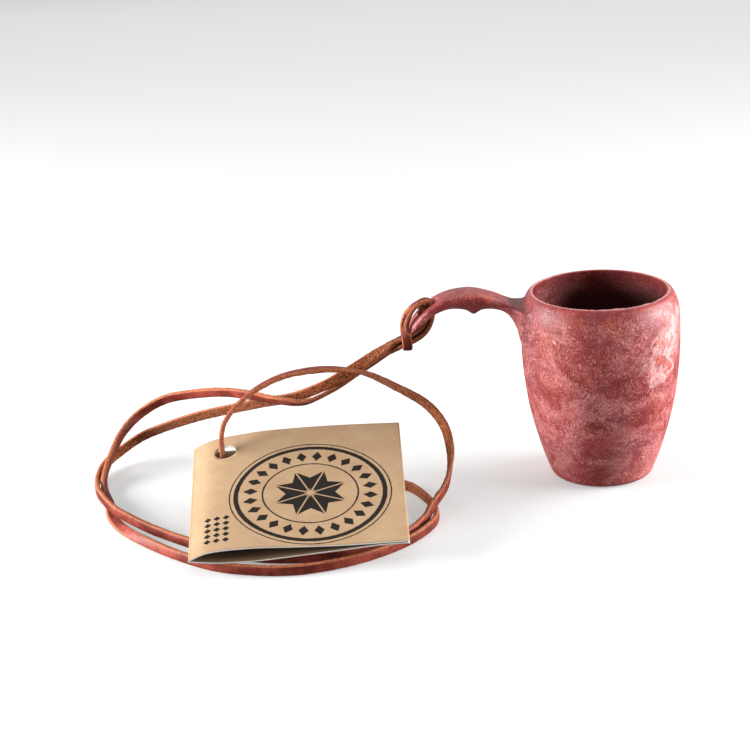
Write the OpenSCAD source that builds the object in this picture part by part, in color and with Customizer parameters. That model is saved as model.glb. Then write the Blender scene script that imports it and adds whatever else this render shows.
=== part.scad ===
// Moulded drinking cup of the kuksa kind: bowl and drooping handle in one piece,
// a doubled leather lace hitched through the handle, and a folded card tag on the lace.
// Millimetres, +Z up. The origin is the centre of the foot, and the handle points to -X.

/* [Bowl] */
// Height of the rim above the table
rim_height = 57.6; // [56.8:0.2:58.4]
// Outer radius at the belly
belly_radius = 23.6; // [23.2:0.1:24]
// Height of the belly, the widest ring
belly_height = 44; // [42:0.5:46]
// Outer radius of the foot, before its edge is rounded
foot_radius = 14.8; // [14:0.2:16]
// Outer radius of the rim
rim_radius = 20.9; // [20.6:0.1:21.3]
// Rounding of the foot's edge
foot_round = 1.6; // [0.8:0.2:2.4]
// Wall thickness from the foot to the belly
wall = 2.2; // [1.8:0.1:2.6]
// Wall thickness at the rim
rim_wall = 1.5; // [1.2:0.1:1.8]
// Thickness of the floor of the bowl
floor_thickness = 3; // [2:0.2:4]
// Rounding between the bowl's floor and its wall
floor_round = 7; // [4:0.5:9]

/* [Handle] */
// Factor on the handle's width, which is 11 mm at 1
handle_width_factor = 1; // [0.95:0.01:1.03]
// Length of the lace slot, along the handle
slot_length = 6; // [5.8:0.1:6.2]
// Width of the lace slot
slot_width = 4.6; // [4.4:0.1:4.8]
// Radius of the slot's corners
slot_corner = 1.2; // [0.8:0.1:1.3]
// Distance from the bowl's axis to the middle of the slot
slot_reach = 51; // [50.9:0.1:51.1]

/* [Lace] */
// Width of the leather lace
lace_width = 3; // [2.6:0.1:3.1]
// Thickness of the leather lace
lace_thickness = 1.4; // [1.1:0.1:1.5]
// Bevel on the lace's cut edges
lace_bevel = 0.3; // [0.1:0.1:0.4]
// Half the height of the knot
knot_half_height = 5.2; // [4.8:0.1:5.3]
// Radius of the knot
knot_radius = 4.6; // [4:0.1:4.7]

/* [Tag] */
// Width of the folded card, from the fold to the free edges
tag_width = 61; // [55:0.5:61.5]
// Depth of the card, along the fold
tag_depth = 56; // [54:0.5:57]
// Thickness of the card
card = 0.4; // [0.3:0.05:0.5]
// Diameter of the punched hole
hole_diameter = 6.2; // [6:0.1:6.6]
// Distance from the fold to the middle of the hole
hole_from_fold = 9.5; // [9.3:0.1:9.7]
// Distance from the front edge to the middle of the hole
hole_from_front = 48; // [47.8:0.1:48.2]
// Lift of the tag's back edge
tag_tilt = 12; // [11.5:0.1:12.5]
// Turn of the tag about the vertical
tag_turn = 1; // [0:0.5:2]

/* [Hidden] */

// ---- Bowl ----
wall_steps = 30;
lip_steps = 6;
corner_steps = 5;
// How quickly the side leaves the belly, downwards and upwards
side_power = 2.1;
shoulder_power = 4;
round_fn = 96;

// ---- Handle: x, top, lower edge, keel and half width, from the tip to inside the bowl ----
handle_rows = [
    [-57.0, 48.5, 47.7, 47.6, 2.4],
    [-56.2, 50.1, 47.9, 47.7, 4.0],
    [-54.6, 52.0, 49.3, 48.8, 5.1],
    [-52.0, 54.6, 51.7, 50.6, 5.5],
    [-48.5, 56.9, 54.3, 52.5, 5.5],
    [-44.5, 58.4, 56.1, 53.6, 5.5],
    [-40.2, 59.0, 56.9, 53.2, 5.4],
    [-37.6, 58.9, 56.8, 51.8, 5.3],
    [-35.0, 58.4, 56.4, 53.0, 5.1],
    [-31.5, 57.4, 55.3, 53.0, 4.8],
    [-28.5, 56.1, 53.6, 52.0, 4.8],
    [-26.5, 55.1, 51.0, 50.2, 5.2],
    [-25.0, 54.5, 47.8, 47.6, 6.2],
    [-23.8, 54.1, 43.8, 43.6, 7.6],
    [-21.0, 53.6, 40.4, 40.4, 8.8]
];
handle_steps = 2;
top_crown = 0.3;
belly_power = 1.3;
// Across the handle: where each point of a section stands, as a share of the half width
section_top = [-0.92, -0.5, 0, 0.5, 0.92];
section_low = [0.88, 0.5, 0, -0.5, -0.88];
side_high_share = 0.75;
side_low_share = 0.25;

// ---- Lace: x, y, z, and the bearing and elevation that its smooth side faces ----
// From the knot to the hitch, the strand that runs outside along the front
far_rows = [
    [-110, -16.4, 7.4, 105, 0],
    [-101.5, -13.4, 5, 110, 0],
    [-92.5, -9.4, 3, 110, 0],
    [-83, -5.8, 1.9, 105, 0],
    [-73, -4.2, 1.6, 85, 0],
    [-64.6, -5.6, 1.6, 60, 0],
    [-58.8, -10, 1.6, 45, 0],
    [-54.8, -17.5, 1.6, 30, 0],
    [-52.2, -26, 1.6, 15, 0],
    [-51.8, -34, 1.6, -5, 0],
    [-54.3, -42, 2, -25, 0],
    [-60, -50, 1.9, -45, 0],
    [-69, -57.5, 1.7, -60, 0],
    [-80, -63.2, 1.6, -75, 0],
    [-92, -66.2, 1.6, -90, 0],
    [-104, -65, 1.6, -100, 0],
    [-115, -60.8, 1.6, -110, 0],
    [-125, -53, 1.6, -120, 5],
    [-134, -43.6, 1.6, -125, 20],
    [-141.5, -33.5, 1.4, -135, 50],
    [-146.6, -22.5, 0.95, -150, 85],
    [-149, -10.5, 1.1, 20, 70],
    [-151.6, 1, 1.8, 5, 25],
    [-152, 9, 3.3, -5, 0],
    [-150.4, 16.6, 6.5, -20, 0],
    [-147.4, 25, 10.5, -40, 0],
    [-142, 31, 14.2, -60, 0],
    [-134, 31, 18.4, -75, 0],
    [-124, 25.2, 21.8, -75, 0],
    [-114.5, 17.5, 24.6, -70, 0],
    [-105.5, 8.4, 26.4, -70, 0],
    [-97.5, 0.4, 27.4, -80, -25],
    [-89, -2, 27.2, -90, -55],
    [-80.5, 0, 30, -90, -75],
    [-72, 2, 34.6, -80, -70],
    [-65.5, 1.6, 39, -60, -65]
];
// Hitch: up through the slot, over the tip, round the standing strands and back
hitch_rows = [
    [-60.8, 0.2, 42.2, 0, -60],
    [-57.6, 0, 43.6, 0, -65],
    [-54.8, -0.1, 44.9, 0, -60],
    [-52.4, -0.2, 46.7, 0, -45],
    [-50.6, -0.2, 49.3, 0, -25],
    [-49.7, -0.2, 52.4, 0, -8],
    [-49.7, -0.3, 55, 0, 15],
    [-50.7, -0.6, 56.6, 0, 60],
    [-52.6, -1.2, 57, 180, 75],
    [-54.8, -1.8, 55.8, 180, 45],
    [-56.6, -2.1, 53.4, 180, 25],
    [-57.8, -2.3, 50.6, 185, 10],
    [-58.2, -2.6, 48.2, 215, 0],
    [-57.8, -2.7, 46, 260, 0],
    [-57.6, -2.3, 43.6, 270, -20],
    [-57.6, 0, 42, 270, -90],
    [-57.6, 2.4, 43.6, 90, -20],
    [-58, 3.1, 46, 100, 0],
    [-58.1, 3.9, 48.2, 115, 0],
    [-57.3, 4.3, 50.9, 125, 8],
    [-56, 3.4, 53.6, 150, 28],
    [-54.2, 1.5, 55, 180, 60],
    [-52.1, 0.6, 54.4, 0, 40],
    [-51.5, 0.3, 52.6, 0, 5],
    [-51.9, 0.3, 50.1, 0, -20],
    [-53.5, 0.3, 47.9, 0, -45],
    [-56, 0.3, 46.4, 0, -62],
    [-58.6, 0.4, 45.2, 0, -65]
];
// From the hitch to the right end of the front, the strand that runs inside
near_rows = [
    [-61.4, 0.2, 44, 0, -62],
    [-67, -1.8, 41.2, 60, -40],
    [-74.5, -1.8, 36.8, 85, -15],
    [-83, 0.6, 31.4, 90, 0],
    [-92.5, 4.4, 26.8, 95, 0],
    [-102, 9.8, 23.6, 100, 0],
    [-112, 16, 19.8, 100, 0],
    [-122.5, 21.4, 16, 105, 0],
    [-133, 25.8, 11.6, 110, 0],
    [-142, 28.4, 7.4, 120, 0],
    [-148.6, 24.8, 4.3, 140, 0],
    [-153.2, 17.6, 2.6, 160, 0],
    [-154.4, 8, 2, 180, 0],
    [-153.4, -2, 2.2, 190, 0],
    [-150.6, -12.5, 3.5, 205, 0],
    [-146.5, -22.5, 4.1, 215, 0],
    [-141.5, -28.4, 3.5, 225, 0],
    [-134, -34.4, 2, 230, 0],
    [-123.5, -43.5, 1.6, 235, 0],
    [-112.5, -52.2, 1.6, 240, 0],
    [-101, -57, 1.6, 255, 0],
    [-89, -58.4, 1.6, 270, 0],
    [-77.5, -56.8, 1.6, 285, 0],
    [-67.1, -52.2, 1.9, 300, 0]
];
// The rising arch, from the front run over the tag and down through its hole
arch_rows = [
    [-59.7, -45.8, 2.5, 312, 0],
    [-55.6, -38.8, 2.9, 325, 0],
    [-54.3, -36.3, 3.6, 332, 0],
    [-53.1, -33.9, 4.9, 338, 0],
    [-51.4, -30.8, 5.7, 345, 0],
    [-48.5, -24.6, 7.4, 2, 5],
    [-46.9, -18.2, 10.3, 28, 8],
    [-46.4, -13, 14.6, 48, 12],
    [-48, -9.2, 20.6, 66, 18],
    [-52.8, -7, 26.6, 80, 28],
    [-61, -6, 31.8, 90, 45],
    [-71, -5.2, 36.8, 90, 65],
    [-82, -5.4, 38.6, 90, 90],
    [-93, -6.5, 37.9, 180, 75],
    [-101.5, -8.8, 35.4, 180, 55],
    [-108.4, -12.4, 31.4, 180, 35],
    [-112.4, -15.9, 27.2, 180, 18],
    [-113.7, -17, 22.6, 180, 5],
    [-113.7, -17, 17.6, 180, 0],
    [-113.7, -17, 12.2, 180, 0]
];
// The two cut ends that leave the knot and lie under the tag
tail_rows_a = [
    [-114.6, -18.4, 3.8, 90, 60],
    [-116, -22.5, 1.8, 90, 75],
    [-116.4, -28, 1.2, 90, 90],
    [-115.2, -34, 1.2, 90, 90]
];
tail_rows_b = [
    [-112, -18.6, 3.6, 90, 60],
    [-109.4, -22.4, 1.8, 90, 75],
    [-106, -26.4, 1.2, 90, 90],
    [-101.6, -29.8, 1.2, 90, 90]
];
knot_place = [-113.6, -17, 7.6];

// ---- Tag: the front end of the fold, and each leaf's curve as [from fold, height] ----
fold_front = [-121.3, -63.8, 4.6];
front_curve = [[0.3, 0.25], [2.5, 1.5], [5, 2.45], [8.5, 3.15], [13, 3.65], [20, 4.1],
               [30, 4.25], [42, 4.25], [52, 4.25], [61, 4.25]];
back_curve = [[0.3, -0.25], [2.5, -0.5], [5, -0.7], [9, -0.8], [15, -0.8], [21, -0.45],
              [27, 0.1], [36, 1.1], [45, 2.2], [53, 3], [61, 3.5]];
curve_steps = 3;
widest_leaf = 61;

// Catmull-Rom: the value between b and c at the share t of the way
function between(a, b, c, d, t) =
    0.5 * (2 * b + (c - a) * t + (2 * a - 5 * b + 4 * c - d) * t * t + (3 * b - a - 3 * c + d) * t * t * t);

// A list of rows with steps points for each stretch between two rows
function smooth(rows, steps) = [
    for (i = [0 : len(rows) - 2], k = [0 : steps - 1])
        between(rows[max(i - 1, 0)], rows[i], rows[i + 1], rows[min(i + 2, len(rows) - 1)], k / steps),
    rows[len(rows) - 1]
];

function unit(v) = v / norm(v);

// ---- Bowl ----
// How far a height is above the belly, from 0 at the belly to 1 at the rim
function shoulder_share(z) = (z - belly_height) / (rim_height - belly_height);

function outer_radius(z) = z < belly_height
    ? belly_radius - (belly_radius - foot_radius) * pow((belly_height - z) / belly_height, side_power)
    : belly_radius - (belly_radius - rim_radius) * pow(shoulder_share(z), shoulder_power);

function wall_at(z) = z < belly_height ? wall : wall - (wall - rim_wall) * shoulder_share(z);

lip_height = rim_height - rim_wall / 2;

outer_side = concat(
    [for (i = [0 : corner_steps - 1])
        let (a = 90 * i / corner_steps)
        [outer_radius(foot_round) - foot_round * (1 - sin(a)), foot_round * (1 - cos(a))]],
    [for (i = [0 : wall_steps])
        let (z = foot_round + (lip_height - foot_round) * i / wall_steps)
        [outer_radius(z), z]]
);

lip_side = [
    for (i = [1 : lip_steps - 1])
        let (a = 180 * i / lip_steps, middle = outer_radius(lip_height) - rim_wall / 2)
        [middle + rim_wall / 2 * cos(a), lip_height + rim_wall / 2 * sin(a)]
];

round_top = floor_thickness + floor_round;

inner_side = concat(
    [for (i = [0 : wall_steps])
        let (z = lip_height - (lip_height - round_top) * i / wall_steps)
        [outer_radius(z) - wall_at(z), z]],
    [for (i = [1 : corner_steps])
        let (a = 90 * i / corner_steps, z = round_top - floor_round * sin(a))
        [outer_radius(round_top) - wall - floor_round * (1 - cos(a)), z]]
);

module bowl_blank() {
    rotate_extrude($fn = round_fn)
        polygon(concat([[0, 0]], outer_side, lip_side, inner_side, [[0, floor_thickness]]));
}

// The hollow of the bowl, which also trims the handle's root flush with the inner wall
module bowl_hollow() {
    rotate_extrude($fn = round_fn)
        polygon(concat([[0, lip_height]], inner_side, [[0, floor_thickness]]));
}

// ---- Handle ----
function handle_section(row) =
    let (x = row[0], top = row[1], edge = row[2], keel = row[3],
         half = row[4] * handle_width_factor, rim = top - top_crown - edge)
    concat(
        [[x, -half, edge + side_low_share * rim], [x, -half, edge + side_high_share * rim]],
        [for (u = section_top) [x, u * half, top - top_crown * u * u]],
        [[x, half, edge + side_high_share * rim], [x, half, edge + side_low_share * rim]],
        [for (u = section_low) [x, u * half, keel + (edge - keel) * pow(abs(u), belly_power)]]
    );

// Closed skin over a list of rings that all have the same number of points
module skin(rings) {
    n = len(rings[0]);
    last = len(rings) - 1;
    polyhedron(
        points = [for (r = rings) each r],
        faces = concat(
            [[for (k = [n - 1 : -1 : 0]) k]],
            [for (i = [0 : last - 1], k = [0 : n - 1]) [i * n + k, i * n + (k + 1) % n, (i + 1) * n + k]],
            [for (i = [0 : last - 1], k = [0 : n - 1])
                [i * n + (k + 1) % n, (i + 1) * n + (k + 1) % n, (i + 1) * n + k]],
            [[for (k = [0 : n - 1]) last * n + k]]
        ),
        convexity = 6
    );
}

module handle_blank() {
    skin([for (row = smooth(handle_rows, handle_steps)) handle_section(row)]);
}

module lace_slot() {
    x = slot_length / 2 - slot_corner;
    y = slot_width / 2 - slot_corner;
    low = 40;
    tall = 25;
    translate([-slot_reach, 0, low]) {
        for (sx = [-1, 1], sy = [-1, 1])
            translate([sx * x, sy * y, 0]) cylinder(h = tall, r = slot_corner, $fn = 32);
        translate([-slot_length / 2, -y, 0]) cube([slot_length, 2 * y, tall]);
        translate([-x, -slot_width / 2, 0]) cube([2 * x, slot_width, tall]);
    }
}

module cup_body() {
    color("indianred")
        difference() {
            union() {
                bowl_blank();
                difference() {
                    handle_blank();
                    bowl_hollow();
                }
            }
            lace_slot();
        }
}

// ---- Lace ----
lace_route = concat(far_rows, hitch_rows, near_rows, arch_rows);
hitch_start = len(far_rows);
near_start = hitch_start + len(hitch_rows);
arch_start = near_start + len(near_rows);

function place(row) = [row[0], row[1], row[2]];

function heading(rows, i) =
    unit(place(rows[min(i + 1, len(rows) - 1)]) - place(rows[max(i - 1, 0)]));

function facing(row) = [cos(row[3]) * cos(row[4]), sin(row[3]) * cos(row[4]), sin(row[4])];

// The strip's section at point i of a route: a rectangle with bevelled corners
function lace_ring(rows, i) =
    let (t = heading(rows, i), f = facing(rows[i]), grain = unit(f - (f * t) * t), side = cross(t, grain),
         w = lace_width / 2, h = lace_thickness / 2, b = lace_bevel,
         outline = [[w, -h + b], [w, h - b], [w - b, h], [-w + b, h],
                    [-w, h - b], [-w, -h + b], [-w + b, -h], [w - b, -h]])
    [for (p = outline) place(rows[i]) + p[0] * side + p[1] * grain];

// The stretch of a route from point a to point b
module lace(rows, a, b) {
    color("sienna") skin([for (i = [a : b]) lace_ring(rows, i)]);
}

module lace_strand_far() { lace(lace_route, 0, hitch_start); }

module lace_hitch() { lace(lace_route, hitch_start, near_start); }

module lace_strand_near() { lace(lace_route, near_start, arch_start); }

module lace_arch() { lace(lace_route, arch_start, len(lace_route) - 1); }

module lace_knot() {
    lump = [for (i = [0 : wall_steps])
        let (a = -90 + 180 * i / wall_steps)
        [knot_radius * cos(a), knot_half_height * sin(a)]];
    color("sienna") {
        translate(knot_place) rotate_extrude($fn = 48) polygon(lump);
        lace(tail_rows_a, 0, len(tail_rows_a) - 1);
        lace(tail_rows_b, 0, len(tail_rows_b) - 1);
    }
}

// ---- Tag ----
// A leaf's section: its curve, and the same curve one card thickness up or down
function leaf_section(curve, up) =
    let (line = smooth([for (p = curve) [p[0] * tag_width / widest_leaf, p[1]]], curve_steps))
    concat(line, [for (i = [len(line) - 1 : -1 : 0]) line[i] + [0, up * card]]);

module leaf(curve, up) {
    hole_low = -10;
    hole_tall = 30;
    translate(fold_front)
        rotate([tag_tilt, 0, tag_turn])
            difference() {
                translate([0, tag_depth, 0])
                    rotate([90, 0, 0])
                        linear_extrude(height = tag_depth) polygon(leaf_section(curve, up));
                translate([hole_from_fold, hole_from_front, hole_low])
                    cylinder(h = hole_tall, d = hole_diameter, $fn = 48);
            }
}

module tag_back() { color("burlywood") leaf(back_curve, -1); }

module tag_front() { color("tan") leaf(front_curve, 1); }

cup_body();
lace_hitch();
lace_strand_near();
lace_strand_far();
lace_arch();
lace_knot();
tag_back();
tag_front();
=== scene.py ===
"""Looks for the moulded kuksa cup, its doubled leather lace and its folded card tag."""

import math

import bpy
import numpy as np
from mathutils import Matrix, Vector, noise


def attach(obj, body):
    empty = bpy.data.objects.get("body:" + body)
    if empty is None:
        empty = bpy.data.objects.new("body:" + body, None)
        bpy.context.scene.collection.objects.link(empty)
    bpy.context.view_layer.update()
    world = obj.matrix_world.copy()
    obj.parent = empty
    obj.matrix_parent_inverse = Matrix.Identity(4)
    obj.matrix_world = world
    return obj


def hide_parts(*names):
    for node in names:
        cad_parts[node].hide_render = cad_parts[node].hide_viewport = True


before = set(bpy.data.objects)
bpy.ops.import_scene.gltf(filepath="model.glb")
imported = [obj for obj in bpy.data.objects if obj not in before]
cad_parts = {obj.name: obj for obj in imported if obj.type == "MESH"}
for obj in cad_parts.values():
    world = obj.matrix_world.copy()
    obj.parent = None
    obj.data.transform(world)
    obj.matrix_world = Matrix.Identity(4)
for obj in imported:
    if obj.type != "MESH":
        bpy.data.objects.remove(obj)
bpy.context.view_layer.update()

MM = 0.001


# ---- Small tools ----
def along(rows, steps):
    """Catmull-Rom through rows, with steps points for each stretch between two rows."""
    rows = np.array(rows, float)
    padded = np.vstack([rows[:1], rows, rows[-1:]])
    t = (np.arange(steps) / steps)[None, :, None]
    a, b, c, d = (padded[i:len(padded) - 3 + i, None, :] for i in range(4))
    curve = 0.5 * (2 * b + (c - a) * t + (2 * a - 5 * b + 4 * c - d) * t ** 2
                   + (3 * b - a - 3 * c + d) * t ** 3)
    return np.vstack([curve.reshape(-1, rows.shape[1]), rows[-1:]])


def unit(vectors):
    """The vectors at length 1."""
    return vectors / np.linalg.norm(vectors, axis=-1, keepdims=True)


def mesh_piece(name, points_mm, faces, materials, face_material=None):
    """A smooth-shaded mesh object from points in millimetres."""
    mesh = bpy.data.meshes.new(name)
    mesh.from_pydata((np.asarray(points_mm) * MM).tolist(), [], faces)
    mesh.validate()
    mesh.polygons.foreach_set("use_smooth", [True] * len(mesh.polygons))
    for material in materials:
        mesh.materials.append(material)
    if face_material is not None:
        mesh.polygons.foreach_set("material_index", np.asarray(face_material, int))
    piece = bpy.data.objects.new(name, mesh)
    bpy.context.scene.collection.objects.link(piece)
    return piece


# ---- Shader tools: an input is a number, a colour or another node's output socket ----
def fill(tree, made, inputs):
    """Sets or links a node's inputs."""
    for name, value in inputs.items():
        socket = made.inputs[name]
        if isinstance(value, bpy.types.NodeSocket):
            tree.links.new(value, socket)
        else:
            socket.default_value = value


def node(tree, kind, inputs=None, **settings):
    """Adds a shader node."""
    made = tree.nodes.new("ShaderNode" + kind)
    for name, value in settings.items():
        setattr(made, name, value)
    fill(tree, made, inputs or {})
    return made


def calc(tree, operation, *values):
    """A maths node's result."""
    return node(tree, "Math", dict(enumerate(values)), operation=operation).outputs[0]


def times(tree, a, b):
    return calc(tree, "MULTIPLY", a, b)


def minus(tree, a, b):
    return calc(tree, "SUBTRACT", a, b)


def fitted(tree, value, factor, base):
    """The value times the factor, plus the base."""
    return calc(tree, "MULTIPLY_ADD", value, factor, base)


def distance(tree, a, b):
    """Length of the level vector (a, b)."""
    return calc(tree, "SQRT", calc(tree, "ADD", times(tree, a, a), times(tree, b, b)))


def vector_calc(tree, operation, *values, result="Vector"):
    """A vector maths node's result."""
    return node(tree, "VectorMath", dict(enumerate(values)), operation=operation).outputs[result]


def scaled(tree, vector, factors):
    """The vector times (x, y, z) factors."""
    return vector_calc(tree, "MULTIPLY", vector, factors)


def parts_of(tree, vector):
    """The vector's x, y and z."""
    return node(tree, "SeparateXYZ", {0: vector}).outputs


def millimetres(tree):
    """The point in the object's own frame, in millimetres."""
    here = node(tree, "TexCoord").outputs["Object"]
    return scaled(tree, here, (1000, 1000, 1000))


def cloud(tree, vector, size, detail=3, roughness=0.55, distortion=0.0):
    """Noise from about 0.3 to 0.7, whose blobs are size across, in the vector's units."""
    made = node(tree, "TexNoise", {"Vector": vector, "Scale": 1 / size, "Detail": detail,
                                   "Roughness": roughness, "Distortion": distortion})
    return made.outputs["Fac"]


def cloud_vector(tree, vector, scale):
    """Smooth noise as a vector."""
    return node(tree, "TexNoise", {"Vector": vector, "Scale": scale, "Detail": 1}).outputs["Color"]


def rise(tree, value, low, high):
    """0 below low, 1 above high and smooth between."""
    made = node(tree, "MapRange", {"Value": value, "From Min": low, "From Max": high},
                interpolation_type="SMOOTHSTEP")
    return made.outputs["Result"]


def fall(tree, value, low, high):
    """1 below low, 0 above high and smooth between."""
    return minus(tree, 1.0, rise(tree, value, low, high))


def between(tree, value, low, high, soft=0.12):
    """1 where value is from low to high."""
    return times(tree, rise(tree, value, low - soft, low + soft), fall(tree, value, high - soft, high + soft))


def near_point(tree, place, centre, reach, core=0.35):
    """1 at the centre and as far as the core, falling to 0 at the reach, a patch's (x, y, z) size."""
    away = scaled(tree, vector_calc(tree, "SUBTRACT", place, centre), tuple(1 / r for r in reach))
    return fall(tree, vector_calc(tree, "LENGTH", away, result="Value"), core, 1.0)


def mixed(tree, share, a, b):
    """Colour a where the share is 0 and b where it is 1."""
    a, b = ((*c, 1) if isinstance(c, tuple) else c for c in (a, b))
    return node(tree, "Mix", {0: share, 6: a, 7: b}, data_type="RGBA").outputs[2]


def laid(tree, tone, colour, share, strength=None):
    """The tone with a colour over it, as far as the share and the strength say."""
    return mixed(tree, share if strength is None else times(tree, share, strength), tone, colour)


def bumped(tree, height, distance_mm, strength=1.0):
    """A normal, tilted as the height's relief says."""
    made = node(tree, "Bump", {"Height": height, "Strength": strength, "Distance": distance_mm * MM})
    return made.outputs["Normal"]


def new_material(name):
    """An empty material with a Principled shader. Returns the material, its tree and its shader."""
    material = bpy.data.materials.new(name)
    material.use_nodes = True
    tree = material.node_tree
    tree.nodes.clear()
    shader = tree.nodes.new("ShaderNodeBsdfPrincipled")
    output = tree.nodes.new("ShaderNodeOutputMaterial")
    tree.links.new(shader.outputs[0], output.inputs[0])
    return material, tree, shader


# ---- Camera ----
AIM = Vector((-67.7, 0, 34.07)) * MM
CAMERA_DISTANCE = 0.64364
CAMERA_PITCH = math.radians(19.352)
CAMERA_ROLL = math.radians(-2.772)
CAMERA_LENS = 103.2
CAMERA_SENSOR = 36


def make_camera():
    """A long lens, a little above the cup and turned a little about its own line of sight."""
    forward = Vector((0, math.cos(CAMERA_PITCH), -math.sin(CAMERA_PITCH)))
    level = Vector((1, 0, 0))
    upright = Vector((0, math.sin(CAMERA_PITCH), math.cos(CAMERA_PITCH)))
    right = math.cos(CAMERA_ROLL) * level + math.sin(CAMERA_ROLL) * upright
    up = math.cos(CAMERA_ROLL) * upright - math.sin(CAMERA_ROLL) * level
    data = bpy.data.cameras.new("camera")
    data.sensor_width = CAMERA_SENSOR
    data.lens = CAMERA_LENS
    data.clip_start = 0.01
    camera = bpy.data.objects.new("camera", data)
    turn = Matrix((right, up, -forward)).transposed().to_4x4()
    camera.matrix_world = Matrix.Translation(AIM - CAMERA_DISTANCE * forward) @ turn
    bpy.context.scene.collection.objects.link(camera)
    bpy.context.scene.camera = camera


make_camera()

# ---- Leather ----
GRAIN_DARK = (0.08, 0.012, 0.007)
GRAIN_MID = (0.145, 0.02, 0.012)
GRAIN_PALE = (0.34, 0.062, 0.038)
SUEDE_DARK = (0.062, 0.012, 0.005)
SUEDE_MID = (0.31, 0.083, 0.028)
SUEDE_PALE = (0.64, 0.26, 0.11)
EDGE_MID = (0.23, 0.05, 0.02)
EDGE_PALE = (0.54, 0.19, 0.09)
# Painted shade: the lace is darkened round the hitch
HITCH_SHADE = (0.05, 0.008, 0.006)
HITCH_MIDDLE = (-56, 0, 45)
HITCH_REACH = (9, 7, 11)


def hitch_shaded(tree, place, tone, strength):
    """The tone, with painted shade darkening it round the hitch."""
    return laid(tree, tone, HITCH_SHADE, near_point(tree, place, HITCH_MIDDLE, HITCH_REACH), strength)


def grain_material():
    """The dyed smooth side: faint pores, creases and rubbed paler stretches."""
    material, tree, shader = new_material("leather_grain")
    place = millimetres(tree)
    worn = cloud(tree, place, 9, 4, 0.6)
    creases = cloud(tree, place, 3.1, 4)
    pores = cloud(tree, place, 0.35, 3, 0.65)
    tone = mixed(tree, rise(tree, worn, 0.35, 0.66), GRAIN_MID, GRAIN_PALE)
    tone = laid(tree, tone, GRAIN_DARK, rise(tree, creases, 0.5, 0.75))
    tone = laid(tree, tone, GRAIN_DARK, rise(tree, pores, 0.5, 0.75), 0.35)
    # Painted shade round the hitch
    fill(tree, shader, {"Base Color": hitch_shaded(tree, place, tone, 0.75),
                        "Roughness": fitted(tree, pores, 0.3, 0.33), "Specular IOR Level": 0.2,
                        "Normal": bumped(tree, pores, 0.05, 0.7)})
    return material


def suede_material():
    """The raw flesh side: a nap of dark and pale fibre tufts."""
    material, tree, shader = new_material("leather_suede")
    place = millimetres(tree)
    tufts = cloud(tree, place, 0.55, 4, 0.7, 0.4)
    fine = cloud(tree, place, 0.2, 2, 0.6)
    tone = mixed(tree, rise(tree, tufts, 0.36, 0.56), SUEDE_DARK, SUEDE_MID)
    tone = laid(tree, tone, SUEDE_PALE, rise(tree, tufts, 0.54, 0.72))
    tone = laid(tree, tone, SUEDE_PALE, rise(tree, fine, 0.5, 0.7), 0.4)
    # Painted shade round the hitch
    fill(tree, shader, {"Base Color": hitch_shaded(tree, place, tone, 0.7), "Roughness": 0.95,
                        "Sheen Weight": 0.08, "Specular IOR Level": 0.12,
                        "Normal": bumped(tree, tufts, 0.25)})
    return material


def edge_material():
    """The cut edge, which shows the undyed middle of the hide."""
    material, tree, shader = new_material("leather_edge")
    strands = cloud(tree, millimetres(tree), 0.4, 4, 0.7)
    fill(tree, shader, {"Base Color": mixed(tree, rise(tree, strands, 0.38, 0.62), EDGE_MID, EDGE_PALE),
                        "Roughness": 0.85, "Specular IOR Level": 0.3,
                        "Normal": bumped(tree, strands, 0.12, 0.9)})
    return material


LEATHER = [grain_material(), edge_material(), suede_material()]
GRAIN_FACE, EDGE_FACE, SUEDE_FACE = range(3)

# ---- Lace route, as in the CAD: x, y, z, and the bearing and elevation that its smooth side faces ----
LACE_WIDTH = 3.0
LACE_THICKNESS = 1.4
RING_SPACING = 0.45
ROUTE_STEPS = 24
FAR_ROWS = [
    (-110, -16.4, 7.4, 105, 0), (-101.5, -13.4, 5, 110, 0), (-92.5, -9.4, 3, 110, 0),
    (-83, -5.8, 1.9, 105, 0), (-73, -4.2, 1.6, 85, 0), (-64.6, -5.6, 1.6, 60, 0),
    (-58.8, -10, 1.6, 45, 0), (-54.8, -17.5, 1.6, 30, 0), (-52.2, -26, 1.6, 15, 0),
    (-51.8, -34, 1.6, -5, 0), (-54.3, -42, 2, -25, 0), (-60, -50, 1.9, -45, 0),
    (-69, -57.5, 1.7, -60, 0), (-80, -63.2, 1.6, -75, 0), (-92, -66.2, 1.6, -90, 0),
    (-104, -65, 1.6, -100, 0), (-115, -60.8, 1.6, -110, 0), (-125, -53, 1.6, -120, 5),
    (-134, -43.6, 1.6, -125, 20), (-141.5, -33.5, 1.4, -135, 50), (-146.6, -22.5, 0.95, -150, 85),
    (-149, -10.5, 1.1, 20, 70), (-151.6, 1, 1.8, 5, 25), (-152, 9, 3.3, -5, 0),
    (-150.4, 16.6, 6.5, -20, 0), (-147.4, 25, 10.5, -40, 0), (-142, 31, 14.2, -60, 0),
    (-134, 31, 18.4, -75, 0), (-124, 25.2, 21.8, -75, 0), (-114.5, 17.5, 24.6, -70, 0),
    (-105.5, 8.4, 26.4, -70, 0), (-97.5, 0.4, 27.4, -80, -25), (-89, -2, 27.2, -90, -55),
    (-80.5, 0, 30, -90, -75), (-72, 2, 34.6, -80, -70), (-65.5, 1.6, 39, -60, -65),
]
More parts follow.
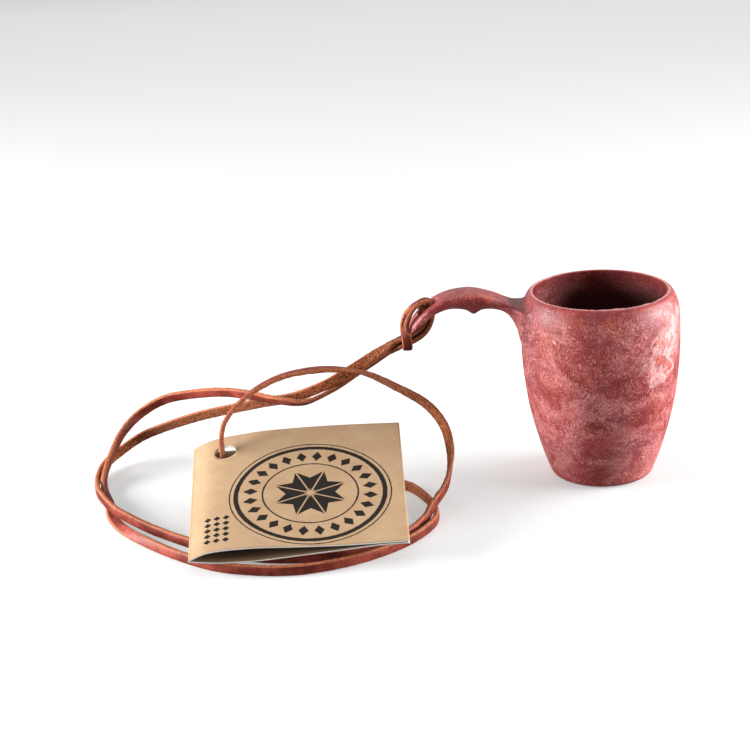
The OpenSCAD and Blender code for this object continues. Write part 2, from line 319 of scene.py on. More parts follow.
HITCH_ROWS = [
    (-60.8, 0.2, 42.2, 0, -60), (-57.6, 0, 43.6, 0, -65), (-54.8, -0.1, 44.9, 0, -60),
    (-52.4, -0.2, 46.7, 0, -45), (-50.6, -0.2, 49.3, 0, -25), (-49.7, -0.2, 52.4, 0, -8),
    (-49.7, -0.3, 55, 0, 15), (-50.7, -0.6, 56.6, 0, 60), (-52.6, -1.2, 57, 180, 75),
    (-54.8, -1.8, 55.8, 180, 45), (-56.6, -2.1, 53.4, 180, 25), (-57.8, -2.3, 50.6, 185, 10),
    (-58.2, -2.6, 48.2, 215, 0), (-57.8, -2.7, 46, 260, 0), (-57.6, -2.3, 43.6, 270, -20),
    (-57.6, 0, 42, 270, -90), (-57.6, 2.4, 43.6, 90, -20), (-58, 3.1, 46, 100, 0),
    (-58.1, 3.9, 48.2, 115, 0), (-57.3, 4.3, 50.9, 125, 8), (-56, 3.4, 53.6, 150, 28),
    (-54.2, 1.5, 55, 180, 60), (-52.1, 0.6, 54.4, 0, 40), (-51.5, 0.3, 52.6, 0, 5),
    (-51.9, 0.3, 50.1, 0, -20), (-53.5, 0.3, 47.9, 0, -45), (-56, 0.3, 46.4, 0, -62),
    (-58.6, 0.4, 45.2, 0, -65),
]
NEAR_ROWS = [
    (-61.4, 0.2, 44, 0, -62), (-67, -1.8, 41.2, 60, -40), (-74.5, -1.8, 36.8, 85, -15),
    (-83, 0.6, 31.4, 90, 0), (-92.5, 4.4, 26.8, 95, 0), (-102, 9.8, 23.6, 100, 0),
    (-112, 16, 19.8, 100, 0), (-122.5, 21.4, 16, 105, 0), (-133, 25.8, 11.6, 110, 0),
    (-142, 28.4, 7.4, 120, 0), (-148.6, 24.8, 4.3, 140, 0), (-153.2, 17.6, 2.6, 160, 0),
    (-154.4, 8, 2, 180, 0), (-153.4, -2, 2.2, 190, 0), (-150.6, -12.5, 3.5, 205, 0),
    (-146.5, -22.5, 4.1, 215, 0), (-141.5, -28.4, 3.5, 225, 0), (-134, -34.4, 2, 230, 0),
    (-123.5, -43.5, 1.6, 235, 0), (-112.5, -52.2, 1.6, 240, 0), (-101, -57, 1.6, 255, 0),
    (-89, -58.4, 1.6, 270, 0), (-77.5, -56.8, 1.6, 285, 0), (-67.1, -52.2, 1.9, 300, 0),
]
ARCH_ROWS = [
    (-59.7, -45.8, 2.5, 312, 0), (-55.6, -38.8, 2.9, 325, 0), (-54.3, -36.3, 3.6, 332, 0),
    (-53.1, -33.9, 4.9, 338, 0), (-51.4, -30.8, 5.7, 345, 0), (-48.5, -24.6, 7.4, 2, 5),
    (-46.9, -18.2, 10.3, 28, 8), (-46.4, -13, 14.6, 48, 12), (-48, -9.2, 20.6, 66, 18),
    (-52.8, -7, 26.6, 80, 28), (-61, -6, 31.8, 90, 45), (-71, -5.2, 36.8, 90, 65),
    (-82, -5.4, 38.6, 90, 90), (-93, -6.5, 37.9, 180, 75), (-101.5, -8.8, 35.4, 180, 55),
    (-108.4, -12.4, 31.4, 180, 35), (-112.4, -15.9, 27.2, 180, 18), (-113.7, -17, 22.6, 180, 5),
    (-113.7, -17, 17.6, 180, 0), (-113.7, -17, 12.2, 180, 0),
]
TAIL_ROWS = [
    [(-114.6, -18.4, 3.8, 90, 60), (-116, -22.5, 1.8, 90, 75), (-116.4, -28, 1.2, 90, 90),
     (-115.2, -34, 1.2, 90, 90)],
    [(-112, -18.6, 3.6, 90, 60), (-109.4, -22.4, 1.8, 90, 75), (-106, -26.4, 1.2, 90, 90),
     (-101.6, -29.8, 1.2, 90, 90)],
]


class Route:
    """A lace's centreline and the way its smooth side faces, both finely interpolated."""

    def __init__(self, rows):
        rows = np.array(rows, float)
        bearing, elevation = np.radians(rows[:, 3]), np.radians(rows[:, 4])
        facing = np.stack([np.cos(bearing) * np.cos(elevation),
                           np.sin(bearing) * np.cos(elevation), np.sin(elevation)], -1)
        self.place = along(rows[:, :3], ROUTE_STEPS)
        heading = unit(np.gradient(self.place, axis=0))
        facing = unit(along(facing, ROUTE_STEPS))
        self.grain = unit(facing - (facing * heading).sum(-1, keepdims=True) * heading)
        self.side = np.cross(heading, self.grain)
        step = np.linalg.norm(np.diff(self.place, axis=0), axis=1)
        self.run = np.concatenate([[0], np.cumsum(step)])

    def stretch(self, first, last, spacing):
        """Evenly spaced points, side and grain directions between two rows of the route."""
        start, end = self.run[first * ROUTE_STEPS], self.run[last * ROUTE_STEPS]
        at = np.linspace(start, end, max(2, round((end - start) / spacing) + 1))
        return [np.stack([np.interp(at, self.run, track[:, k]) for k in range(3)], -1)
                for track in (self.place, self.side, self.grain)]


# The strip's section: its rounded shoulder, how far its middle stands over it, and its raw edges
SHOULDER = 0.32
CROWN = 0.1
EDGE_LEAN = 0.08
EDGE_BULGE_HEIGHT = 0.1
BURR = 0.16


def strip_outline():
    """The strip's section as [side, grain] points, and for each the kind of the face after it."""
    w, h = LACE_WIDTH / 2, LACE_THICKNESS / 2
    across = [1 - i / 3 for i in range(7)]
    points = [[u * (w - SHOULDER), h - CROWN * u * u] for u in across]
    points += [[-w + EDGE_LEAN, h - SHOULDER], [-w, EDGE_BULGE_HEIGHT], [-w, -h + BURR]]
    points += [[-u * (w - BURR), -h] for u in across]
    points += [[w, -h + BURR], [w, EDGE_BULGE_HEIGHT], [w - EDGE_LEAN, h - SHOULDER]]
    kinds = [GRAIN_FACE] * 6 + [EDGE_FACE] * 4 + [SUEDE_FACE] * 6 + [EDGE_FACE] * 4
    return np.array(points), kinds


# How rough each kind of face is, and how much the whole strip swells over a stretch of rings
NAP = {GRAIN_FACE: 0.012, EDGE_FACE: 0.045, SUEDE_FACE: 0.07}
SWELL = 0.012
SWELL_RINGS = 20


def strip_mesh(track, seed, scale=1.0):
    """Points, faces and face kinds of a strip of lace, its raw sides roughened."""
    place, side, grain = track
    outline, kinds = strip_outline()
    outline = outline * scale
    rings, n = len(place), len(outline)
    random = np.random.default_rng(seed)
    nap = random.normal(size=(rings, n))
    nap = (np.roll(nap, 1, 0) + 2 * nap + np.roll(nap, -1, 0)) / 4
    stations = np.arange(0, rings + SWELL_RINGS, SWELL_RINGS)
    slow = np.interp(np.arange(rings), stations, random.normal(size=len(stations)))[:, None]
    amount = np.array([NAP[k] for k in kinds])
    across = outline[:, 0] * (1 + SWELL * slow + nap * amount / LACE_WIDTH)
    through = outline[:, 1] * (1 + SWELL * slow + nap * amount / (LACE_THICKNESS / 2))
    points = place[:, None] + across[..., None] * side[:, None] + through[..., None] * grain[:, None]
    faces, face_kinds = [], []
    for i in range(rings - 1):
        for k in range(n):
            m = (k + 1) % n
            faces.append([i * n + k, i * n + m, (i + 1) * n + m, (i + 1) * n + k])
            face_kinds.append(kinds[k])
    faces += [list(range(n))[::-1], list(range((rings - 1) * n, rings * n))]
    face_kinds += [EDGE_FACE, EDGE_FACE]
    return points.reshape(-1, 3), faces, face_kinds


def joined(parts):
    """Several (points, faces, face kinds) as one."""
    points, faces, kinds, start = [], [], [], 0
    for p, f, k in parts:
        points.append(p)
        faces += [[v + start for v in face] for face in f]
        kinds += k
        start += len(p)
    return np.vstack(points), faces, kinds


def lace_piece(name, parts):
    """One leather object of several strip meshes, on the cup's body."""
    points, faces, kinds = joined(parts)
    piece = mesh_piece(name, points, faces, LEATHER, kinds)
    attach(piece, "cup")
    return piece


lace = Route(FAR_ROWS + HITCH_ROWS + NEAR_ROWS + ARCH_ROWS)
HITCH_START = len(FAR_ROWS)
NEAR_START = HITCH_START + len(HITCH_ROWS)
LACE_END = NEAR_START + len(NEAR_ROWS) + len(ARCH_ROWS) - 1

far_track = lace.stretch(0, HITCH_START, RING_SPACING)
hitch_track = lace.stretch(HITCH_START, NEAR_START, RING_SPACING / 2)
near_track = lace.stretch(NEAR_START, LACE_END, RING_SPACING)

far_strand = lace_piece("lace_far_strand", [strip_mesh(far_track, seed=1)])
near_strand = lace_piece("lace_near_strand", [strip_mesh(near_track, seed=2)])
hitch = lace_piece("lace_hitch_loop", [strip_mesh(hitch_track, seed=3)])

# ---- Knot: a doubled overhand knot, with its two tails ----
KNOT_PLACE = np.array([-113.6, -17, 7.6])
KNOT_RADIUS = 4.6
KNOT_HALF_HEIGHT = 5.2
KNOT_STEPS = 160
KNOT_FLATTENED = [1, 1, 0.35]
# The knot's two strips: size of the way round, turn along it and scale of the strip
KNOT_STRIPS = [(1.0, 0, 0.94), (0.68, 0.35, 0.8)]
KNOT_SEED = 4
TAIL_SEED = 6


def knot_track(shrink, turn):
    """One strip's way round the knot: a trefoil, whose smooth side faces outwards."""
    t = np.linspace(0, 2 * math.pi, KNOT_STEPS + 1) + turn
    wide = shrink * (KNOT_RADIUS - LACE_THICKNESS / 2) / 3
    tall = shrink * (KNOT_HALF_HEIGHT - LACE_WIDTH / 2)
    lobes = np.stack([wide * (np.sin(t) + 2 * np.sin(2 * t)),
                      wide * (np.cos(t) - 2 * np.cos(2 * t)), -tall * np.sin(3 * t)], -1)
    heading = unit(np.gradient(lobes, axis=0))
    outward = unit(lobes * KNOT_FLATTENED)
    grain = unit(outward - (outward * heading).sum(-1, keepdims=True) * heading)
    return lobes + KNOT_PLACE, np.cross(heading, grain), grain


knot_parts = [strip_mesh(knot_track(size, turn), KNOT_SEED + i, scale)
              for i, (size, turn, scale) in enumerate(KNOT_STRIPS)]
knot_parts += [strip_mesh(Route(rows).stretch(0, len(rows) - 1, RING_SPACING), TAIL_SEED + i)
               for i, rows in enumerate(TAIL_ROWS)]
knot = lace_piece("lace_knot_tied", knot_parts)

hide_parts("lace_strand_far")
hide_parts("lace_strand_near", "lace_arch")
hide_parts("lace_hitch")
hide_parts("lace_knot")


# ---- Cup ----
RIM_HEIGHT = 57.6
BELLY_RADIUS = 23.6
BELLY_HEIGHT = 44.0
FOOT_RADIUS = 14.8
RIM_RADIUS = 20.9
SIDE_POWER = 2.1
SHOULDER_POWER = 4.0
FOOT_ROUND = 1.6
WALL = 2.2
RIM_WALL = 1.2
LIP_ROUND = 0.38
LIP_ROLL = 0.8
LIP_HEIGHT = RIM_HEIGHT - RIM_WALL / 2
FLOOR_THICKNESS = 3.0
FLOOR_ROUND = 7.0
SLOT_LENGTH = 6.0
SLOT_WIDTH = 4.6
SLOT_CORNER = 1.2
SLOT_REACH = 51.0
SLOT_ROUND = 0.35
# Handle: x, top, lower edge, keel and half width, from the tip to inside the bowl
HANDLE_ROWS = [
    (-57.0, 48.5, 47.7, 47.6, 2.4), (-56.2, 50.1, 47.9, 47.7, 4.0), (-54.6, 52.0, 49.3, 48.8, 5.1),
    (-52.0, 54.6, 51.7, 50.6, 5.5), (-48.5, 56.9, 54.3, 52.5, 5.5), (-44.5, 58.4, 56.1, 53.6, 5.5),
    (-40.2, 59.0, 56.9, 53.2, 5.4), (-37.6, 58.9, 56.8, 51.8, 5.3), (-35.0, 58.4, 56.4, 53.0, 5.1),
    (-31.5, 57.4, 55.3, 53.0, 4.8), (-28.5, 56.1, 53.6, 52.0, 4.8), (-26.5, 55.1, 51.0, 50.2, 5.2),
    (-25.0, 54.5, 47.8, 47.6, 6.2), (-23.8, 54.1, 43.8, 43.6, 7.6), (-21.0, 53.6, 40.4, 40.4, 8.8),
]
HANDLE_STEPS = 24
HANDLE_TABLE = along(HANDLE_ROWS, HANDLE_STEPS)
TOP_CROWN = 0.3
BELLY_POWER = 1.3
HANDLE_TOP_ROUND = 0.5
HANDLE_BELLY_ROUND = 0.45
HANDLE_TIP_ROUND = 0.6
ROOT_FILLET = 1.3
FAR_OUTSIDE = 50.0
# The box that the cup's skin is looked for in, and the size of its cells
CUP_LOW, CUP_HIGH = (-58.2, -25.2, -1.2), (25.2, 25.2, 60.3)
CUP_GRID = 0.45


# A solid is a field below 0 inside it
def round_max(a, b, radius):
    """The intersection of two solids, its edge rounded."""
    return np.minimum(np.maximum(a, b), -radius) + np.hypot(np.maximum(a + radius, 0),
                                                            np.maximum(b + radius, 0))


def round_min(a, b, radius):
    """The union of two solids, its corner filled."""
    return np.maximum(np.minimum(a, b), radius) - np.hypot(np.maximum(radius - a, 0),
                                                           np.maximum(radius - b, 0))


def outer_radius(z):
    """Radius of the bowl's outer skin at a height."""
    below = BELLY_RADIUS - (BELLY_RADIUS - FOOT_RADIUS) * (np.maximum(BELLY_HEIGHT - z, 0)
                                                          / BELLY_HEIGHT) ** SIDE_POWER
    share = np.maximum(z - BELLY_HEIGHT, 0) / (RIM_HEIGHT - BELLY_HEIGHT)
    return below - (BELLY_RADIUS - RIM_RADIUS) * share ** SHOULDER_POWER


def wall_at(z):
    """Level thickness of the bowl's wall at a height: thinner towards the rim."""
    share = np.clip((z - BELLY_HEIGHT) / (RIM_HEIGHT - BELLY_HEIGHT), 0, 1)
    return WALL - (WALL - RIM_WALL) * share


def bowl_field(radius, z, nudge=0.1):
    """About the distance to the skin of the bowl, and to that of its hollow: below 0 inside."""
    slope = (outer_radius(z + nudge) - outer_radius(z - nudge)) / (2 * nudge)
    lean = np.sqrt(1 + slope ** 2)
    outside = round_max((radius - outer_radius(z)) / lean, -z, FOOT_ROUND)
    hollow = round_max((radius - outer_radius(z) + wall_at(z)) / lean, FLOOR_THICKNESS - z, FLOOR_ROUND)
    wall = round_max(round_max(outside, z - RIM_HEIGHT, LIP_ROLL), -hollow, LIP_ROUND)
    return wall, hollow


def handle_field(x, y, z):
    """About the distance to the handle's skin, below 0 inside."""
    stations = HANDLE_TABLE[:, 0]
    top, edge, keel, half = (np.interp(x, stations, HANDLE_TABLE[:, k]) for k in range(1, 5))
    top_slope, edge_slope = (np.interp(x, stations, np.gradient(HANDLE_TABLE[:, k], stations))
                             for k in (1, 2))
    share = np.clip(np.abs(y) / half, 0, 1.3)
    over = (z - top + TOP_CROWN * share ** 2) / np.sqrt(1 + top_slope ** 2)
    belly = keel + (edge - keel) * share ** BELLY_POWER
    under = (belly - z) / np.sqrt(1 + edge_slope ** 2)
    beside = np.abs(y) - half
    body = round_max(round_max(over, beside, HANDLE_TOP_ROUND), under, HANDLE_BELLY_ROUND)
    return round_max(body, stations[0] - x, HANDLE_TIP_ROUND)


def slot_field(x, y):
    """Distance to the slot's wall, below 0 in the slot."""
    dx = np.abs(x + SLOT_REACH) - SLOT_LENGTH / 2 + SLOT_CORNER
    dy = np.abs(y) - SLOT_WIDTH / 2 + SLOT_CORNER
    beyond = np.hypot(np.maximum(dx, 0), np.maximum(dy, 0))
    return beyond + np.minimum(np.maximum(dx, dy), 0) - SLOT_CORNER


def cup_field(points):
    """About the distance to the cup's skin, below 0 inside."""
    x, y, z = points[..., 0], points[..., 1], points[..., 2]
    radius = np.hypot(x, y)
    bowl, hollow = bowl_field(radius, z)
    handle = np.maximum(handle_field(x, y, z), outer_radius(z) - wall_at(z) / 2 - radius)
    handle = np.where(x < 0, handle, FAR_OUTSIDE)
    whole = np.maximum(round_min(bowl, handle, ROOT_FILLET), -hollow)
    return round_max(whole, -slot_field(x, y), SLOT_ROUND)


def surface_net(field, low, high, step):
    """Quads over field's zero level: one point in each grid cell that it crosses."""
    axes = [np.arange(a, b + step, step) for a, b in zip(low, high)]
    grid = np.stack(np.meshgrid(*axes, indexing="ij"), -1)
    value = field(grid)
    cells = tuple(n - 1 for n in value.shape)
    total, count = np.zeros((*cells, 3)), np.zeros(cells)
    corner = [(i, j, k) for i in (0, 1) for j in (0, 1) for k in (0, 1)]
    part = {c: tuple(slice(c[a], c[a] + cells[a]) for a in range(3)) for c in corner}
    for c in corner:
        for axis in range(3):
            if c[axis]:
                continue
            d = tuple(v + (a == axis) for a, v in enumerate(c))
            va, vb = value[part[c]], value[part[d]]
            crossed = (va < 0) != (vb < 0)
            share = np.where(crossed, va / np.where(crossed, va - vb, 1), 0)[..., None]
            point = grid[part[c]] * (1 - share) + grid[part[d]] * share
            total += np.where(crossed[..., None], point, 0)
            count += crossed
    used = count > 0
    index = np.full(cells, -1)
    index[used] = np.arange(used.sum())
    points = total[used] / count[used][:, None]
    faces = []
    for axis in range(3):
        va = np.moveaxis(value, axis, 0)
        cell = np.moveaxis(index, axis, 0)
        inside = va < 0
        change = inside[:-1, 1:-1, 1:-1] != inside[1:, 1:-1, 1:-1]
        i, j, k = np.nonzero(change)
        quad = np.stack([cell[i, j, k], cell[i, j + 1, k], cell[i, j + 1, k + 1], cell[i, j, k + 1]], -1)
        # A quad faces out of the solid. Moving the middle axis to the front mirrors the cells
        leaving = inside[:-1, 1:-1, 1:-1][i, j, k]
        flip = leaving if axis != 1 else ~leaving
        quad[~flip] = quad[~flip][:, ::-1]
        faces.append(quad)
    return points, np.vstack(faces)


def onto_surface(field, points, rounds=3, nudge=0.02, longest=0.4):
    """Moves points onto field's zero level."""
    for _ in range(rounds):
        slope = np.stack([(field(points + nudge * e) - field(points - nudge * e)) / (2 * nudge)
                          for e in np.eye(3)], -1)
        size = np.maximum((slope ** 2).sum(-1), 0.1)
        step = np.clip(field(points) / size, -longest, longest)
        points = points - step[:, None] * slope
    return points


def relaxed(points, faces, share=0.5):
    """Evens out the spacing of the points."""
    total, count = np.zeros_like(points), np.zeros(len(points))
    for a, b in ((0, 1), (1, 2), (2, 3), (3, 0)):
        for m, n in ((faces[:, a], faces[:, b]), (faces[:, b], faces[:, a])):
            np.add.at(total, m, points[n])
            np.add.at(count, m, 1)
    return points + share * (total / count[:, None] - points)


# Waviness of the skin: size and height. The floor's middle, inside the first radius, has none
SKIN_WAVES = [(9, 0.09), (3.5, 0.03)]
WAVE_START, WAVE_FULL = 8, 12
HANDLE_ROOT_X = -26
HANDLE_LOWEST = 30
# Flaws of the moulded rim: bearing, width along the rim and height, in degrees and millimetres
RIM_NICKS = [(-82, 2.2, 0.35), (-78, 0.9, 0.2), (-56, 1.3, 0.3), (-50, 0.8, -0.25), (-110, 1.5, 0.12)]
NICK_DEPTH = 0.6
NICK_SHARPNESS = 4
# The lip is what is above LIP_HEIGHT, over this blend, and within this radius
LIP_BLEND = 0.5
LIP_REACH = 23


def moulded(points):
    """Slight sink, waviness and flash nicks of a moulded part."""
    wave = np.array([sum(noise.noise(Vector(p) / size) * height for size, height in SKIN_WAVES)
                     for p in points.tolist()])
    radius = np.hypot(points[:, 0], points[:, 1])
    out = points[:, :2] / np.maximum(radius, 1)[:, None]
    on_bowl = np.clip((radius - WAVE_START) / (WAVE_FULL - WAVE_START), 0, 1) * (points[:, 0] > HANDLE_ROOT_X)
    moved = points.copy()
    moved[:, :2] += out * (wave * on_bowl)[:, None]
    moved[:, 2] += np.where(on_bowl > 0, 0, wave * (points[:, 2] > HANDLE_LOWEST))
    bearing = np.degrees(np.arctan2(points[:, 1], points[:, 0]))
    on_lip = np.clip((points[:, 2] - LIP_HEIGHT) / LIP_BLEND, 0, 1) * (radius < LIP_REACH)
    for place, width, height in RIM_NICKS:
        away = np.radians(bearing - place) * RIM_RADIUS / width
        moved[:, 2] += on_lip * height * np.exp(-away ** 2 * NICK_SHARPNESS) * NICK_DEPTH
    return moved


def make_cup(material):
    """The moulding: a net over its field, evened out and pulled onto it twice, then made uneven."""
    points, faces = surface_net(cup_field, CUP_LOW, CUP_HIGH, CUP_GRID)
    for _ in range(2):
        points = onto_surface(cup_field, relaxed(points, faces))
    points = moulded(points)
    points[:, 2] = np.maximum(points[:, 2], 0)
    return mesh_piece("cup_moulding", points, faces.tolist(), [material])


# ---- Cup material ----
MAROON = (0.15, 0.024, 0.024)
CRANBERRY = (0.31, 0.042, 0.04)
DUSTY_PINK = (0.56, 0.17, 0.165)
PALE_PINK = (0.8, 0.4, 0.38)
BRICK = (0.2, 0.02, 0.019)
MAUVE = (0.24, 0.056, 0.066)
MARBLE_PINK = (0.92, 0.6, 0.58)
ORANGE = (0.5, 0.1, 0.045)
FOOT_RED = (0.42, 0.05, 0.042)
# Painted shade on faces that look down
UNDERSIDE_SHADE_RED = (0.36, 0.022, 0.018)
FLECK = (0.78, 0.42, 0.28)
# Painted shade for the inside of the bowl
INSIDE_SHADE_MAROON = (0.045, 0.004, 0.004)
# A band of thicker fibres round the bowl, and the swirl's core, ring and plume
BAND_HEIGHT = 19.5
SWIRL_CORE = (15.2, -18.0, 41.8)
SWIRL_RING = (3.0, 6.2)
SWIRL_PLUME = (19.6, -12, 48)
PLUME_REACH = (6, 9, 9)


def fibres(tree, place, lean, length, thickness):
    """Short strokes, a little bent, that lie along Z turned by lean, in degrees about X and Y."""
    bent = vector_calc(tree, "ADD", scaled(tree, cloud_vector(tree, place, 0.16), (9, 9, 9)), place)
    turn = (math.radians(lean[0]), math.radians(lean[1]), 0)
    turned = node(tree, "VectorRotate", {"Vector": bent, "Rotation": turn}, rotation_type="EULER_XYZ")
    stretch = (1 / thickness, 1 / thickness, 1 / length)
    return cloud(tree, scaled(tree, turned.outputs[0], stretch), 1.0, 2, 0.6)


def spared(tree, value, share, amount):
    """The value, less by that amount of itself where the share is 1."""
    return times(tree, value, fitted(tree, share, -amount, 1.0))


def fibre_thickness(tree, place, z, under):
    """Fibres lie thick in some places and in a band, and thin just under the lip; underneath they are thinned
    as painted shade.
    """
    thick = rise(tree, cloud(tree, scaled(tree, place, (1, 1, 1.3)), 9, 5, 0.68, 0.9), 0.3, 0.68)
    thick = spared(tree, thick, rise(tree, z, RIM_HEIGHT - 6, RIM_HEIGHT - 2), 0.7)
    band = fall(tree, calc(tree, "ABSOLUTE", minus(tree, z, BAND_HEIGHT)), 0.6, 2.6)
    band = times(tree, band, rise(tree, cloud(tree, place, 3, 4, 0.7), 0.35, 0.6))
    thick = calc(tree, "MAXIMUM", thick, times(tree, band, 0.9))
    # Fewer pale fibres underneath: painted shade
    return spared(tree, thick, under, 0.7)


def swirled(tree, place, tone, cover):
    """The tone with a swirl of paler material round a red core, and a plume above it."""
    stir = vector_calc(tree, "SUBTRACT", cloud_vector(tree, place, 0.18), (0.5, 0.5, 0.5))
    stirred = vector_calc(tree, "ADD", place, scaled(tree, stir, (16, 16, 16)))
    core = vector_calc(tree, "DISTANCE", stirred, SWIRL_CORE, result="Value")
    streaks = rise(tree, cloud(tree, scaled(tree, stirred, (1, 1, 0.45)), 3.2, 4, 0.6, 0.4), 0.34, 0.6)
    ring = times(tree, between(tree, core, *SWIRL_RING, 1.1), streaks)
    plume = times(tree, near_point(tree, stirred, SWIRL_PLUME, PLUME_REACH), streaks)
    tone = laid(tree, tone, ORANGE, fall(tree, core, 1.2, 3.2), 0.6)
    marbled = laid(tree, tone, MARBLE_PINK, calc(tree, "MAXIMUM", ring, plume))
    return laid(tree, tone, marbled, fitted(tree, cover, -0.2, 0.66))


def flecked(tree, place, tone):
    """The tone with round flecks of many sizes."""
    dots = node(tree, "TexVoronoi", {"Vector": place, "Scale": 0.4, "Randomness": 1.0})
    any_number = node(tree, "SeparateColor", {0: dots.outputs["Color"]}).outputs[0]
    dot = calc(tree, "LESS_THAN", dots.outputs["Distance"], times(tree, any_number, 0.1))
    return laid(tree, tone, FLECK, dot, 0.55)


def skin_depth(tree, x, y, z):
    """How far in from the bowl's outer skin a point is, level: outer_radius less its radius."""
    low = calc(tree, "DIVIDE", calc(tree, "MAXIMUM", minus(tree, BELLY_HEIGHT, z), 0.0), BELLY_HEIGHT)
    side = times(tree, calc(tree, "POWER", low, SIDE_POWER), BELLY_RADIUS - FOOT_RADIUS)
    high = calc(tree, "DIVIDE", calc(tree, "MAXIMUM", minus(tree, z, BELLY_HEIGHT), 0.0),
                RIM_HEIGHT - BELLY_HEIGHT)
    shoulder = times(tree, calc(tree, "POWER", high, SHOULDER_POWER), BELLY_RADIUS - RIM_RADIUS)
    skin = minus(tree, minus(tree, BELLY_RADIUS, side), shoulder)
    return minus(tree, skin, distance(tree, x, y))


def cup_material():
    """Moulded wood fibre: cranberry clouds under a fuzz of pale fibres, swirls and orange flecks."""
    material, tree, shader = new_material("moulded_wood_fibre")
    place = millimetres(tree)
    x, y, z = parts_of(tree, place)
    tone = mixed(tree, rise(tree, cloud(tree, place, 11, 6, 0.72, 0.6), 0.36, 0.6), BRICK, CRANBERRY)
    tone = laid(tree, tone, MAUVE, rise(tree, cloud(tree, place, 15, 4, 0.6), 0.46, 0.62), 0.7)
    tone = laid(tree, tone, ORANGE, rise(tree, cloud(tree, place, 6.2, 5, 0.75, 0.5), 0.52, 0.66), 0.6)
    tone = laid(tree, tone, FOOT_RED, fall(tree, z, 3, 15), 0.45)
    # Painted shade: the underside of the handle, whose faces look down, is deeper red
    upwards = parts_of(tree, node(tree, "NewGeometry").outputs["Normal"])[2]
    under = rise(tree, times(tree, upwards, -1.0), 0.4, 0.8)
    tone = laid(tree, tone, UNDERSIDE_SHADE_RED, under, 0.75)
    # Fibres in two directions with a fuzz between them, the longest catching the light
    thick = fibre_thickness(tree, place, z, under)
    strokes = calc(tree, "MAXIMUM", fibres(tree, place, (0, 38), 2.8, 0.27),
                   fibres(tree, place, (35, -25), 1.9, 0.22))
    fuzz = calc(tree, "MAXIMUM", strokes, cloud(tree, place, 0.5, 4, 0.74))
    cover = rise(tree, fitted(tree, thick, 0.18, fuzz), 0.6, 0.74)
    tone = laid(tree, tone, DUSTY_PINK, cover, 0.78)
    tone = laid(tree, tone, PALE_PINK, rise(tree, fitted(tree, thick, 0.1, strokes), 0.66, 0.73), 0.62)
    tone = swirled(tree, place, tone, cover)
    grit = cloud(tree, scaled(tree, place, (1, 1, 1.3)), 0.9, 4, 0.7)
    tone = laid(tree, tone, MAROON, rise(tree, grit, 0.5, 0.62), 0.5)
    tone = flecked(tree, place, tone)
    # Painted shade in the hollow: darker further down, and least by the handle
    depth = skin_depth(tree, x, y, z)
    within = times(tree, rise(tree, depth, 0.9, 1.4), rise(tree, z, 2.0, 3.0))
    sunk = rise(tree, minus(tree, RIM_HEIGHT, z), 0.5, 10)
    by_handle = rise(tree, times(tree, x, -1.0), 5, 15)
    painted_hollow_shade = fitted(tree, sunk, fitted(tree, by_handle, -0.75, 0.62), 0.35)
    tone = laid(tree, tone, INSIDE_SHADE_MAROON, times(tree, within, painted_hollow_shade))
    # Painted highlight: the lip's edge is paler
    lip = times(tree, rise(tree, z, RIM_HEIGHT - 0.3, RIM_HEIGHT - 0.08), rise(tree, depth, -1.2, -0.6))
    tone = laid(tree, tone, PALE_PINK, lip, 0.5)
    rough = fitted(tree, cloud(tree, place, 1.2, 4, 0.6), 0.5, 0.2)
    rough = fitted(tree, times(tree, within, sunk), 0.35, rough)
    relief = fitted(tree, strokes, 0.35, cloud(tree, place, 0.5, 4, 0.65))
    fill(tree, shader, {"Base Color": tone, "Roughness": rough, "Specular IOR Level": 0.3,
                        "Normal": bumped(tree, relief, 0.08, 0.8)})
    return material


cup = make_cup(cup_material())
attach(cup, "cup")
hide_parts("cup_body")

# ---- Tag ----
TAG_WIDTH = 61.0
TAG_DEPTH = 56.0
CARD = 0.4
HOLE_RADIUS = 3.1
HOLE = (9.5, 48.0)
FOLD_FRONT = Vector((-121.3, -63.8, 4.6))
TAG_TILT = math.radians(12)
TAG_TURN = math.radians(1)
# Height of each leaf along its front and back edges, at these distances from the fold
STATIONS = [0, 2.5, 5, 8.5, 13, 20, 30, 42, 52, 61]
FRONT_LEAF = ([0, 1.3, 2.2, 2.7, 3.0, 3.1, 2.7, 2.4, 2.5, 2.7],
              [0, 1.5, 2.6, 3.5, 4.2, 5.1, 5.6, 5.8, 5.7, 5.5])
BACK_LEAF = ([0, -0.4, -0.7, -1.0, -1.0, -0.8, 0.1, 1.2, 2.2, 2.5],
             [0, -0.5, -0.8, -0.9, -0.8, -0.2, 1.0, 2.8, 4.2, 5.1])
LEAF_STEPS = 12
# Grid lines over the rounded fold, the square patch that holds the hole, and the cells beside it
FOLD_LINES = [-0.395, -0.37, -0.3, -0.2, -0.1]
PATCH = 6.0
PATCH_CELLS = 24
HOLE_RINGS = 5
LEFT_CELLS, RIGHT_CELLS = 7, 61
FRONT_CELLS, BACK_CELLS = 57, 3
UV_SIZE = 100
OUTSIDE_FACE, INSIDE_FACE, CUT_FACE = range(3)


